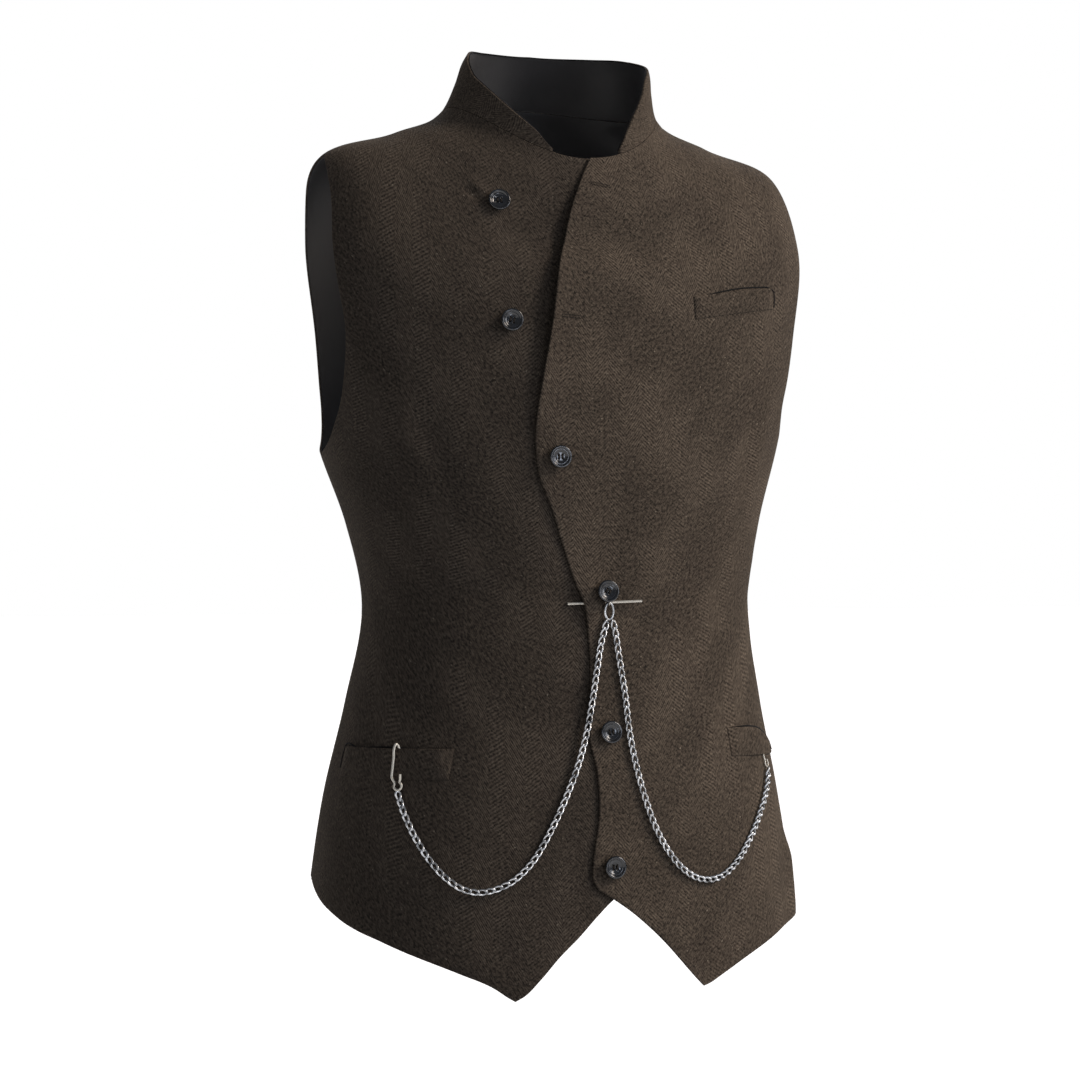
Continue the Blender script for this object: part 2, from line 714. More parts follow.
# =============================================================== soft creases
# Each crease: points as (x, z in mm on the front) with its height and half
# width in mm. A trough has a height below zero. The back's creases are given
# from its middle, x positive towards the wearer's left.
FRONT_CREASES = (
    (((-92, -40), (-84, -50), (-77, -57)), 1.5, 3.4),
    (((-97, -46), (-88, -56), (-79, -63)), -1.7, 3.2),
    (((-60, -48), (-40, -66), (-24, -96)), -0.8, 9.0),
    (((-62, -84), (-60, -120), (-64, -146)), 0.7, 8.0),
    (((-150, -196), (-143, -236), (-128, -268)), 1.8, 11.0),
    (((-134, -214), (-124, -250), (-108, -276)), -1.5, 10.0),
    (((-148, -318), (-118, -326), (-84, -322)), 1.2, 8.0),
    (((-150, -344), (-116, -350), (-74, -343)), -1.4, 9.0),
    (((-148, -372), (-120, -378), (-88, -372)), 1.2, 9.0),
    (((-58, -300), (-44, -318), (-32, -338)), 0.8, 7.0),
    (((-90, -262), (-70, -254), (-50, -250)), -0.7, 9.0),
    (((-150, -400), (-136, -428), (-126, -452)), -1.0, 11.0),
    (((-60, -402), (-40, -384), (-24, -366)), -0.7, 8.0),
    (((-96, -585), (-80, -606), (-74, -628)), -0.9, 11.0),
    (((-34, -470), (-28, -520), (-30, -570)), -0.7, 12.0),
    (((148, -190), (140, -232), (128, -270)), 1.6, 11.0),
    (((132, -212), (120, -252), (104, -284)), -1.2, 11.0),
    (((150, -322), (118, -330), (82, -325)), 1.1, 8.0),
    (((150, -350), (112, -352), (66, -345)), -1.3, 9.0),
    (((148, -376), (118, -380), (80, -374)), 0.9, 9.0),
    (((6, -262), (34, -270), (66, -262)), 0.8, 10.0),
    (((14, -348), (40, -352), (64, -346)), 0.8, 7.0),
    (((12, -362), (36, -372), (60, -372)), -0.8, 7.0),
    (((20, -452), (52, -458), (84, -452)), -0.7, 11.0),
    (((60, -580), (68, -604), (80, -624)), -0.8, 10.0),
    (((60, -60), (92, -92), (112, -150)), -0.9, 16.0),
    (((172, -528), (177, -560), (176, -588), (168, -616)), 4.6, 15.0),
    (((-178, -566), (-176, -584), (-168, -606)), 2.2, 15.0),
)
BACK_CREASES = (
    (((-118, -120), (-96, -176), (-92, -236)), 1.5, 13.0),
    (((112, -112), (94, -170), (96, -230)), 1.4, 13.0),
    (((-60, -300), (0, -306), (54, -298)), 1.3, 9.0),
    (((-96, -330), (-30, -336), (70, -326)), -1.6, 10.0),
    (((-74, -362), (6, -368), (92, -356)), 1.6, 10.0),
    (((-110, -388), (-40, -396), (36, -390)), -1.2, 10.0),
    (((-138, -262), (-126, -300), (-120, -336)), -1.1, 10.0),
    (((136, -268), (122, -306), (114, -340)), -1.2, 10.0),
    (((-40, -20), (0, -34), (38, -20)), 0.9, 9.0),
    (((-56, -44), (0, -60), (52, -46)), -0.8, 11.0),
    (((-70, -430), (-62, -480), (-74, -540)), 1.0, 14.0),
    (((58, -436), (66, -486), (60, -544)), -1.0, 14.0),
)
CREASE_ENDS = 0.30       # share of a crease over which it rises and dies out
CREASE_FLOOR = 0.12      # and what is left of its height at its very ends
CREASE_REACH = 3         # half widths past which it isn't felt
BACK_REACH = 0.172       # x in metres at which the back turns to the side
SWAY = 0.45 * MM         # the cloth's slow unevenness
SWAY_WAVES = ((23.0, 9.0, 0.3), (11.0, -31.0, 1.9), (-37.0, 17.0, 4.1))
SWAY_DEPTH = 7.0         # radians a metre from the front to the back


def crease_lines():
    """The creases as points of the form, with their sizes in metres."""
    lines = []
    for creases, behind in ((FRONT_CREASES, False), (BACK_CREASES, True)):
        for rows, height, width in creases:
            x, z = np.array(rows, float).T * MM
            if behind:
                angle = math.pi - np.arcsin(np.clip(x / BACK_REACH, -1, 1))
                points = form(angle, station_at(angle, z))
            else:
                points = form(*place(x, z))
            lines.append((points, height * MM, width * MM))
    return lines


CREASES = crease_lines()


def creased(angle, station):
    """How far the creases and the slow sway lift the cloth off the form."""
    point = form(angle, station)
    lift = np.zeros(point.shape[:-1])
    for line, height, width in CREASES:
        margin = CREASE_REACH * width
        near = np.all((point > line.min(0) - margin) & (point < line.max(0) + margin), axis=-1)
        if not near.any():
            continue
        spots = point[near]
        step = np.linalg.norm(np.diff(line, axis=0), axis=-1)
        reach = np.concatenate([[0.0], np.cumsum(step)]) / step.sum()
        best = np.full(len(spots), np.inf)
        share = np.zeros(len(spots))
        for k in range(len(line) - 1):
            run = line[k + 1] - line[k]
            f = np.clip(((spots - line[k]) @ run) / (run @ run), 0, 1)
            away = np.linalg.norm(spots - line[k] - f[:, None] * run, axis=-1)
            nearer = away < best
            best = np.where(nearer, away, best)
            share = np.where(nearer, reach[k] + f * (reach[k + 1] - reach[k]), share)
        ends = fade(share / CREASE_ENDS) * fade((1 - share) / CREASE_ENDS)
        ends = CREASE_FLOOR + (1 - CREASE_FLOOR) * ends
        lift[near] += height * ends * np.exp(-(best / width) ** 2)
    sway = sum(np.sin(a * point[..., 0] + b * point[..., 2] + c + SWAY_DEPTH * point[..., 1])
               for a, b, c in SWAY_WAVES)
    return lift + SWAY * sway / len(SWAY_WAVES)


def on_cloth(height, angle, station, lift=0.0):
    """Points at a lift over a cloth's outer face, with its creases."""
    return skin(angle, station, height(angle, station) + creased(angle, station) + lift)


def hanging(route_rows):
    """Points of a chain's rows and the way out of the cloth at each."""
    rows = np.array(route_rows)
    angle, station = place(rows[:, 0] * MM, rows[:, 1] * MM)
    normal = outward(angle, station)
    return np.concatenate([form(angle, station) + normal * rows[:, 2:3] * MM, normal], -1)


ROUTE_POINTS = 600


def soft_route(rows, count):
    """Evenly spaced rows of a smooth curve; the first three columns are its place."""
    along = reach_along(rows[:, :3])
    dense = np.linspace(0, along[-1], ROUTE_POINTS)
    curve = np.stack([smooth(along, column, dense) for column in rows.T], -1)
    length = reach_along(curve[:, :3])
    where = np.linspace(0, length[-1], count)
    return np.stack([np.interp(where, length, column) for column in curve.T], -1), length[-1]


# ================================================================== materials
def linear(hex_colour):
    """Linear colour of an sRGB hex value."""
    parts = [int(hex_colour[k:k + 2], 16) / 255 for k in (1, 3, 5)]
    return tuple(v / 12.92 if v <= 0.04045 else ((v + 0.055) / 1.055) ** 2.4
                 for v in parts) + (1.0,)


def add(tree, kind, inputs=(), out=0, **settings):
    """Add a node with its settings, and give one of its outputs.

    inputs are values or outputs to link, in the sockets' order or by socket.
    """
    made = tree.nodes.new("ShaderNode" + kind)
    for name, value in settings.items():
        setattr(made, name, value)
    for socket, value in (inputs.items() if isinstance(inputs, dict) else enumerate(inputs)):
        if isinstance(value, bpy.types.NodeSocket):
            tree.links.new(value, made.inputs[socket])
        else:
            made.inputs[socket].default_value = value
    return made.outputs[out] if len(made.outputs) else made


SOFT = {"interpolation_type": "SMOOTHSTEP"}      # a Map Range with soft ends
COLOURS = {"out": 2, "data_type": "RGBA"}        # a Mix of the colours in sockets 6 and 7


def scale_for(size):
    """Scale of a pattern whose grain is this many millimetres wide."""
    return 1000.0 / size


def new_material(name):
    """An empty material and its tree."""
    material = bpy.data.materials.new(name)
    material.use_nodes = True
    material.node_tree.nodes.clear()
    return material, material.node_tree


def tweed_material(name, cloth, tone, far_tone=None):
    """Wool tweed woven in herringbone: dark and light yarns, matt, hairy, flecked.

    The twill lines are 1.8 mm apart in the cloth and drawn at the pitch of
    the settings, a little coarser, so that they still show in a full view.
    The yarns' tufts are drawn about twice their size for the same reason.
    """
    material, tree = new_material(name)
    uv = add(tree, "UVMap", uv_map="cut")
    u = add(tree, "SeparateXYZ", (uv,))
    v = u.node.outputs[1]

    # Twill lines that turn round at each column, wavering as woven yarn does.
    waver = add(tree, "TexNoise", {"Vector": uv, "Scale": scale_for(4.5455), "Detail": 2.0})
    zigzag = add(tree, "Math", (u, cloth.column), operation="PINGPONG")
    column = add(tree, "Math", (u, cloth.column), operation="DIVIDE")
    column = add(tree, "Math", (column,), operation="FLOOR")
    rise = add(tree, "Math", (zigzag, cloth.slope, v), operation="MULTIPLY_ADD")
    rise = add(tree, "Math", (rise, cloth.pitch), operation="DIVIDE")
    phase = add(tree, "Math", (column, 0.5, rise), operation="MULTIPLY_ADD")
    phase = add(tree, "Math", (waver, 0.9, phase), operation="MULTIPLY_ADD")
    line = add(tree, "Math", (phase, 0.5), operation="PINGPONG")
    line = add(tree, "Math", (line, 2.0), operation="MULTIPLY")
    line = add(tree, "MapRange", (line, 0.22, 0.86), **SOFT)

    # Mottle of the yarn, its heather, the broad cloud that hides the lines, and flecks.
    yarn = add(tree, "TexNoise", {"Vector": uv, "Scale": scale_for(cloth.yarn_mm),
                                  "Detail": 3.0, "Roughness": 0.7})
    heather = add(tree, "TexNoise", {"Vector": uv, "Scale": scale_for(4.7619), "Detail": 3.0,
                                     "Roughness": 0.62})
    broad = add(tree, "TexNoise", {"Vector": uv, "Scale": scale_for(58.8235), "Detail": 2.0})
    tuft = add(tree, "TexNoise", {"Vector": uv, "Scale": scale_for(cloth.tuft_mm),
                                  "Detail": 2.0, "Roughness": 0.55})
    fleck = add(tree, "TexNoise", {"Vector": uv, "Scale": scale_for(2.32558), "Detail": 1.0})
    fine = add(tree, "Math", (yarn, 0.45), operation="MULTIPLY")
    grain = add(tree, "Math", (tuft, 0.55, fine), operation="MULTIPLY_ADD")
    spin = add(tree, "MapRange", (grain, 0.36, 0.64), **SOFT)
    clear = add(tree, "MapRange", (broad, 0.38, 0.64, 0.12, 1.0), **SOFT)
    woven = add(tree, "Math", (line, clear), operation="MULTIPLY")
    woven = add(tree, "Math", (woven, 0.42), operation="MULTIPLY")
    share = add(tree, "Math", (spin, 0.58, woven), operation="MULTIPLY_ADD")
    colour = add(tree, "Mix", {0: share, 6: linear(cloth.dark), 7: linear(cloth.light)},
                 **COLOURS)
    warm = add(tree, "MapRange", (heather, 0.36, 0.66), **SOFT)
    warm = add(tree, "Math", (warm, 0.42), operation="MULTIPLY")
    colour = add(tree, "Mix", {0: warm, 6: colour, 7: linear(cloth.middle)}, **COLOURS)
    nep = add(tree, "MapRange", (fleck, 0.70, 0.80), **SOFT)
    nep = add(tree, "Math", (nep, 0.65), operation="MULTIPLY")
    colour = add(tree, "Mix", {0: nep, 6: colour, 7: linear(cloth.fleck)}, **COLOURS)

    # The tone is that of hairs seen along or against the nap.
    shade = (*tone, 1.0)
    if far_tone:
        turned = add(tree, "MapRange", (u, *TONE_RUN), **SOFT)
        shade = add(tree, "Mix", {0: turned, 6: shade, 7: (*far_tone, 1.0)}, **COLOURS)
    colour = add(tree, "Mix", {0: 1.0, 6: colour, 7: shade}, blend_type="MULTIPLY", **COLOURS)

    relief = add(tree, "Math", (line, 0.55), operation="MULTIPLY")
    relief = add(tree, "Math", (spin, 0.6, relief), operation="MULTIPLY_ADD")
    relief = add(tree, "Math", (heather, 0.5, relief), operation="MULTIPLY_ADD")
    bump = add(tree, "Bump", {"Height": relief, "Strength": 0.55, "Distance": 0.4 * MM})
    shader = add(tree, "BsdfPrincipled",
                 {"Base Color": colour, "Roughness": 0.94, "Specular IOR Level": 0.12,
                  "Sheen Weight": cloth.nap, "Sheen Roughness": 0.55,
                  "Sheen Tint": linear("#b9a58c"), "Normal": bump})
    add(tree, "OutputMaterial", {"Surface": shader})
    return material


def lining_material():
    """Woven viscose satin lining: black, with a soft run of light and fine threads.

    Its threads are 0.1 mm apart and drawn four times as coarse, to show at all.
    """
    material, tree = new_material("viscose_satin_lining")
    uv = add(tree, "UVMap", uv_map="cut")
    warp = add(tree, "Mapping", {"Vector": uv,
                                 "Scale": (scale_for(0.416667), scale_for(3.33333), 1.0)})
    threads = add(tree, "TexNoise", {"Vector": warp, "Scale": 1.0, "Detail": 2.0})
    cloud = add(tree, "TexNoise", {"Vector": uv, "Scale": scale_for(71.4286), "Detail": 3.0})
    colour = add(tree, "Mix", {0: cloud, 6: linear("#0f0e0f"), 7: linear("#242223")}, **COLOURS)
    bump = add(tree, "Bump", {"Height": threads, "Strength": 0.25, "Distance": 0.2 * MM})
    shader = add(tree, "BsdfPrincipled",
                 {"Base Color": colour, "Roughness": 0.48, "Specular IOR Level": 0.4,
                  "Sheen Weight": 0.12, "Normal": bump})
    add(tree, "OutputMaterial", {"Surface": shader})
    return material


def lining_edge_material():
    """Folded edge of the black lining: the same viscose, matt where it is pressed."""
    material, tree = new_material("pressed_lining_edge")
    where = add(tree, "TexCoord", out="Object")
    cloud = add(tree, "TexNoise", {"Vector": where, "Scale": scale_for(2.5), "Detail": 3.0})
    colour = add(tree, "Mix", {0: cloud, 6: linear("#060606"), 7: linear("#171514")}, **COLOURS)
    shader = add(tree, "BsdfPrincipled",
                 {"Base Color": colour, "Roughness": 0.8, "Specular IOR Level": 0.15})
    add(tree, "OutputMaterial", {"Surface": shader})
    return material


def resin_material():
    """Cast polyester button resin: near black with a cloudy navy swirl, polished.

    The swirl is about 4 mm wide, and handling leaves it duller in half-millimetre specks.
    """
    material, tree = new_material("cast_polyester_resin")
    where = add(tree, "TexCoord", out="Object")
    swirl = add(tree, "TexNoise", {"Vector": where, "Scale": scale_for(3.84615), "Detail": 3.0,
                                   "Distortion": 1.6})
    wear = add(tree, "TexNoise", {"Vector": where, "Scale": scale_for(0.526316), "Detail": 2.0})
    cloudy = add(tree, "MapRange", (swirl, 0.35, 0.68), **SOFT)
    colour = add(tree, "Mix", {0: cloudy, 6: linear("#040506"), 7: linear("#10151d")}, **COLOURS)
    rough = add(tree, "MapRange", (wear, 0.3, 0.75, 0.13, 0.26), **SOFT)
    shader = add(tree, "BsdfPrincipled",
                 {"Base Color": colour, "Roughness": rough, "IOR": 1.5,
                  "Coat Weight": 0.15, "Coat Roughness": 0.08})
    add(tree, "OutputMaterial", {"Surface": shader})
    return material


def thread_material():
    """Twisted polyester sewing thread: dark brown, matt, with a fine ply.

    The ply turns every 0.4 mm and is drawn at over twice that, to show.
    """
    material, tree = new_material("twisted_sewing_thread")
    where = add(tree, "TexCoord", out="Object")
    ply = add(tree, "TexWave", {"Vector": where, "Scale": scale_for(1.11111), "Distortion": 2.0},
              out="Fac", bands_direction="DIAGONAL")
    colour = add(tree, "Mix", {0: ply, 6: linear("#120f0d"), 7: linear("#2c2620")}, **COLOURS)
    bump = add(tree, "Bump", {"Height": ply, "Strength": 0.5, "Distance": 0.1 * MM})
    shader = add(tree, "BsdfPrincipled",
                 {"Base Color": colour, "Roughness": 0.75, "Specular IOR Level": 0.25,
                  "Normal": bump})
    add(tree, "OutputMaterial", {"Surface": shader})
    return material


def steel_material():
    """Nickel-plated steel wire, tumbled: pale and bright, greyer in its hollows.

    The tarnish runs in clouds of about a link, and tumbling leaves millimetre marks.
    """
    material, tree = new_material("nickel_plated_steel")
    where = add(tree, "TexCoord", out="Object")
    tarnish = add(tree, "TexNoise", {"Vector": where, "Scale": scale_for(6.25), "Detail": 3.0})
    marks = add(tree, "TexNoise", {"Vector": where, "Scale": scale_for(1.11111), "Detail": 2.0})
    grey = add(tree, "MapRange", (tarnish, 0.42, 0.72), **SOFT)
    colour = add(tree, "Mix", {0: grey, 6: linear("#b9bbbd"), 7: linear("#6c6e70")}, **COLOURS)
    rough = add(tree, "MapRange", (marks, 0.3, 0.7, 0.26, 0.40), **SOFT)
    shader = add(tree, "BsdfPrincipled",
                 {"Base Color": colour, "Metallic": 0.93, "Roughness": rough})
    add(tree, "OutputMaterial", {"Surface": shader})
    return material


def satin_nickel_material():
    """Satin nickel on solid wire: pale and warm, brushed, with soft broad highlights."""
    material, tree = new_material("satin_nickel_wire")
    where = add(tree, "TexCoord", out="Object")
    brush = add(tree, "TexNoise", {"Vector": where, "Scale": scale_for(1.428571),
                                   "Detail": 2.0})
    colour = add(tree, "Mix", {0: brush, 6: linear("#d9d4c8"), 7: linear("#a29d92")}, **COLOURS)
    shader = add(tree, "BsdfPrincipled",
                 {"Base Color": colour, "Metallic": 0.6, "Roughness": 0.36})
    add(tree, "OutputMaterial", {"Surface": shader})
    return material


def paper_material():
    """Matt studio paper: pale, with the faintest cloud."""
    material, tree = new_material("matt_studio_paper")
    where = add(tree, "TexCoord", out="Object")
    cloud = add(tree, "TexNoise", {"Vector": where, "Scale": scale_for(666.667), "Detail": 3.0})
    colour = add(tree, "Mix", {0: cloud, 6: linear("#f6f6f6"), 7: linear("#fafafa")}, **COLOURS)
    shader = add(tree, "BsdfPrincipled",
                 {"Base Color": colour, "Roughness": 0.9, "Specular IOR Level": 0.1,
                  "Emission Color": linear("#ffffff"), "Emission Strength": 0.55})
    add(tree, "OutputMaterial", {"Surface": shader})
    return material


WITH_NAP = (1.0, 1.0, 1.0)
COOL = (0.98, 1.0, 1.03)  # wool seen against its nap is a little cooler
TONE_RUN = (0.0, 0.14)    # metres round the collar over which its tone changes
TWEEDS = {                # name of each tweed, and whether it starts and ends against the nap
    "tweed": ("herringbone_wool_tweed", False, None),
    "tweed_under": ("herringbone_wool_tweed_against_nap", True, None),
    "tweed_round": ("herringbone_wool_tweed_round_the_neck", False, True),
}
OTHERS = {"lining": lining_material, "lining_edge": lining_edge_material,
          "resin": resin_material, "thread": thread_material, "steel": steel_material,
          "nickel": satin_nickel_material, "paper": paper_material}
MADE = {}


def material_of(name):
    """Each material once, made when it is first asked for."""
    if name not in MADE:
        if name in TWEEDS:
            cloth = bpy.context.scene.vest_cloth
            against = [cloth.against_nap * part for part in COOL]
            title, start, end = TWEEDS[name]
            MADE[name] = tweed_material(title, cloth, against if start else WITH_NAP,
                                        against if end else None)
        else:
            MADE[name] = OTHERS[name]()
    return MADE[name]


# ============================================================= mesh builders
def add_piece(name, bm, materials, body="root"):
    """A finished piece from a bmesh, shaded smooth, riding on its body."""
    mesh = bpy.data.meshes.new(name)
    bm.to_mesh(mesh)
    bm.free()
    for material in materials:
        mesh.materials.append(material_of(material))
    mesh.shade_smooth()
    thing = bpy.data.objects.new(name, mesh)
    bpy.context.scene.collection.objects.link(thing)
    if body:
        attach(thing, body)
    return thing


RIM = 0.8 * MM           # how far the cloth's edges are rounded
SEAM_RIM = 0.35 * MM     # edges that are sewn together stay sharper
RIM_STEPS = 3


def shell(name, grid, outer, inner, middle, materials, edge, faced=None, shift=(0.0, 0.0)):
    """A closed thin wall on a grid, its edges rolled and its weave laid out.

    edge says of an edge place on the grid whether it is free, sewn or
    tapered, and faced which places have tweed on the inside too.
    """
    across, up = grid.shape[0] - 1, grid.shape[1] - 1
    bm = bmesh.new()
    bmesh.ops.create_grid(bm, x_segments=across, y_segments=up, size=0.5)
    for item in bmesh.ops.extrude_face_region(bm, geom=bm.faces[:])["geom"]:
        if isinstance(item, bmesh.types.BMVert):
            item.co.z = 1.0
    bm.verts.index_update()
    spots = np.array([vert.co for vert in bm.verts])
    column = np.rint((spots[:, 0] + 0.5) * across).astype(int)
    row = np.rint((spots[:, 1] + 0.5) * up).astype(int)
    front = spots[:, 2] > 0.5
    angle, station = grid[column, row, 0], grid[column, row, 1]
    lift = creased(angle, station)
    height = np.where(front, outer(angle, station), inner(angle, station)) + lift
    flat = cut_place(angle, station, middle) + shift
    layer = bm.loops.layers.uv.new("cut")
    rims = {"free": [], "sewn": []}
    for face in bm.faces:
        levels = {bool(front[vert.index]) for vert in face.verts}
        inside = levels == {False}
        if inside and faced is not None:
            inside = not all(faced(column[v.index], row[v.index]) for v in face.verts)
        face.material_index = 1 if inside else 0
        for loop in face.loops:
            loop[layer].uv = flat[loop.vert.index]
        if len(levels) == 2:
            for line in face.edges:
                a, b = (vert.index for vert in line.verts)
                if front[a] == front[b]:
                    kinds = {edge(column[a], row[a]), edge(column[b], row[b])}
                    kind = "free" if kinds == {"free"} else "sewn"
                    if "tapered" not in kinds:
                        rims[kind].append(line)
    for vert, point in zip(bm.verts, skin(angle, station, height)):
        vert.co = point
    bmesh.ops.recalc_face_normals(bm, faces=bm.faces[:])
    for kind, reach in (("free", RIM), ("sewn", SEAM_RIM)):
        lines = [line for line in rims[kind] if line.is_valid]
        if lines:
            bmesh.ops.bevel(bm, geom=lines, offset=reach, offset_type="OFFSET",
                            segments=RIM_STEPS, profile=0.5, affect="EDGES", material=-1,
                            clamp_overlap=False)
    return add_piece(name, bm, materials)


def evaluated(thing):
    """A mesh of the object with its curve or modifiers worked out."""
    bpy.context.view_layer.update()
    seen = thing.evaluated_get(bpy.context.evaluated_depsgraph_get())
    return bpy.data.meshes.new_from_object(seen)


def tube(points, radius, closed=False, sides=8, swell=None):
    """Round wire through points, as a mesh; an open one has closed ends."""
    curve = bpy.data.curves.new("wire", "CURVE")
    curve.dimensions = "3D"
    curve.bevel_depth = radius
    curve.bevel_resolution = sides // 2 - 2
    curve.use_fill_caps = not closed
    line = curve.splines.new("POLY")
    line.points.add(len(points) - 1)
    for spot, point in zip(line.points, points):
        spot.co = (*point, 1.0)
    if swell is not None:
        line.points.foreach_set("radius", swell)
    line.use_cyclic_u = closed
    thing = bpy.data.objects.new("wire", curve)
    bpy.context.scene.collection.objects.link(thing)
    mesh = evaluated(thing)
    bpy.data.objects.remove(thing)
    bpy.data.curves.remove(curve)
    return mesh


def gather(copies):
    """One bmesh of meshes, each alone or with its matrix."""
    bm = bmesh.new()
    for copy in copies:
        mesh, matrix = copy if isinstance(copy, tuple) else (copy, None)
        known = len(bm.verts)
        bm.from_mesh(mesh)
        if matrix is not None:
            bm.verts.ensure_lookup_table()
            bmesh.ops.transform(bm, matrix=matrix, verts=bm.verts[known:])
    return bm


def frame_of(x_axis, y_axis, z_axis, origin):
    """Matrix with these axes and this origin."""
    made = Matrix.Identity(4)
    for axis, way in enumerate((x_axis, y_axis, z_axis)):
        made.col[axis][:3] = way
    made.translation = origin
    return made


def local_frame(angle, station, height=0.0):
    """Matrix whose axes run to the wearer's left, up the cloth and outward."""
    normal = outward(angle, station)
    left = form(angle + TINY, station) - form(angle - TINY, station)
    left = left - normal * np.dot(left, normal)
    left /= np.linalg.norm(left)
    return frame_of(left, np.cross(normal, left), normal,
                    form(angle, station) + normal * height)


# ===================================================================== pieces
VIEW_ANGLE = math.radians(21)        # the camera stands this far to the right side
CAMERA_REACH = 2.2
CAMERA_Z = -0.308


class VestCamera(bpy.types.PropertyGroup):
    """How the vest is looked at."""
    lens: FloatProperty(name="Lens", description="Focal length of the camera",
                        default=95.23, min=20.0, max=300.0, unit="CAMERA")
    shift: FloatProperty(name="Shift", description="Sideways shift of the picture",
                         default=-0.0083, min=-0.2, max=0.2)


class VestCloth(bpy.types.PropertyGroup):
    """The tweed's weave and colours."""
    column: FloatProperty(name="Column", description="Width of a herringbone column",
                          default=0.013, min=0.002, max=0.05, unit="LENGTH")
    pitch: FloatProperty(name="Pitch", description="Distance between twill lines, upright",
                         default=0.0028, min=0.0005, max=0.01, unit="LENGTH")
    slope: FloatProperty(name="Slope", description="Rise of the twill lines over their run",
                         default=1.15, min=0.3, max=3.0)
    yarn_mm: FloatProperty(name="Yarn", description="Length of a tuft of yarn in millimetres",
                           default=1.5, min=0.2, max=5.0)
    tuft_mm: FloatProperty(name="Tuft", description="Size of the melange's tufts in millimetres",
                           default=2.4, min=0.5, max=8.0)
    nap: FloatProperty(name="Nap", description="How much light the hairs catch",
                       default=0.10, min=0.0, max=1.0, subtype="FACTOR")
    against_nap: FloatProperty(name="Against the nap",
                               description="Tone of the right front, whose hairs lie away",
                               default=0.71, min=0.2, max=1.5, subtype="FACTOR")
    dark: StringProperty(name="Dark yarn", description="sRGB hex colour", default="#14110e")
    light: StringProperty(name="Light yarn", description="sRGB hex colour", default="#6f6254")
    middle: StringProperty(name="Heather", description="sRGB hex colour", default="#3a312a")
    fleck: StringProperty(name="Fleck", description="sRGB hex colour", default="#8d8170")


class VestChain(bpy.types.PropertyGroup):
    """The links of the watch chain."""
    pitch: FloatProperty(name="Link pitch", description="Distance from link to link",
                         default=0.0058, min=0.002, max=0.02, unit="LENGTH")
    width: FloatProperty(name="Link width", description="Width across a link",
                         default=0.0051, min=0.002, max=0.02, unit="LENGTH")
    link_length: FloatProperty(name="Link length", description="Length of a link",
                               default=0.0088, min=0.002, max=0.03, unit="LENGTH")
    wire: FloatProperty(name="Link wire", description="Diameter of the links' wire",
                        default=0.0017, min=0.0004, max=0.004, unit="LENGTH")


class VestButtons(bpy.types.PropertyGroup):
    """The buttons' holes and their sewing."""
    hole_gap: FloatProperty(name="Hole gap", description="From the middle to a hole",
                            default=0.00135, min=0.0005, max=0.004, unit="LENGTH")
    hole: FloatProperty(name="Hole", description="Radius of a hole",
                        default=0.0008, min=0.0002, max=0.002, unit="LENGTH")
    steps: IntProperty(name="Steps", description="Sides of the turned buttons",
                       default=48, min=12, max=96)


class VestStage(bpy.types.PropertyGroup):
    """Floor and lights."""
    floor_z: FloatProperty(name="Floor", description="Height of the floor",
                           default=-1.45, min=-3.0, max=-0.7, unit="LENGTH")
    key: FloatProperty(name="Key light", description="Strength of the wide key light",
                       default=2.0, min=0.0, max=100.0)
    fill: FloatProperty(name="Fill light", description="Power of the broad fill light",
                        default=29.0, min=0.0, max=1000.0, unit="POWER")
    glint: FloatProperty(name="Glint light", description="Power of the small box by the camera",
                         default=4.5, min=0.0, max=1000.0, unit="POWER")
    back: FloatProperty(name="Back light", description="Strength of the light from behind",
                        default=0.55, min=0.0, max=100.0)
    ambient: FloatProperty(name="Ambient", description="Strength of the white surroundings",
                           default=0.31, min=0.0, max=3.0)


class VEST_OT_camera(bpy.types.Operator):
    """Set the camera level, turned to the right side of the vest"""
    bl_idname = "vest.camera"
    bl_label = "Camera"

    def execute(self, context):
        settings = context.scene.vest_camera
        data = bpy.data.cameras.new("camera")
        data.lens = settings.lens
        data.shift_x = settings.shift
        camera = bpy.data.objects.new("camera", data)
        context.scene.collection.objects.link(camera)
        camera.location = (-CAMERA_REACH * math.sin(VIEW_ANGLE),
                           -CAMERA_REACH * math.cos(VIEW_ANGLE), CAMERA_Z)
        camera.rotation_euler = (math.pi / 2, 0.0, -VIEW_ANGLE)
        context.scene.camera = camera
        return {"FINISHED"}


LINK_TWIST = 1.05 * MM   # how far a curb link's wire leaves its plane
LINK_STEPS, LINK_SIDES = 20, 6       # few, because there are over a hundred links
BAIL_STEPS = 32
WIRE_SIDES = 12
HOOK_POINTS = 90
HOOK_TURN = range(-65, -350, -15)    # degrees round a hook's ring, 0 is upward


def link_mesh(chain):
    """One curb link: an oval of wire, twisted so that the links lie flat."""
    turns = np.linspace(0, 2 * math.pi, LINK_STEPS, endpoint=False)
    half_long = (chain.link_length - chain.wire) / 2
    half_wide = (chain.width - chain.wire) / 2
    points = np.stack([half_long * np.cos(turns), half_wide * np.sin(turns),
                       LINK_TWIST * np.sin(2 * turns)], -1)
    return tube(points, chain.wire / 2, closed=True, sides=LINK_SIDES)


def bail_points():
    """Points round the oval link that hangs from the bar."""
    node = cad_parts["chain_bail"]
    middle = sum((node.matrix_world @ v.co for v in node.data.vertices), Vector())
    middle /= len(node.data.vertices)
    x, z = BUTTONS["button_4"][:2]
    seat = local_frame(*place(x * MM, z * MM))
    seat.translation = middle
    return [seat @ Vector((BAIL_HALF_WIDE * math.sin(turn), BAIL_HALF_TALL * math.cos(turn), 0))
            for turn in np.linspace(0, 2 * math.pi, BAIL_STEPS, endpoint=False)]


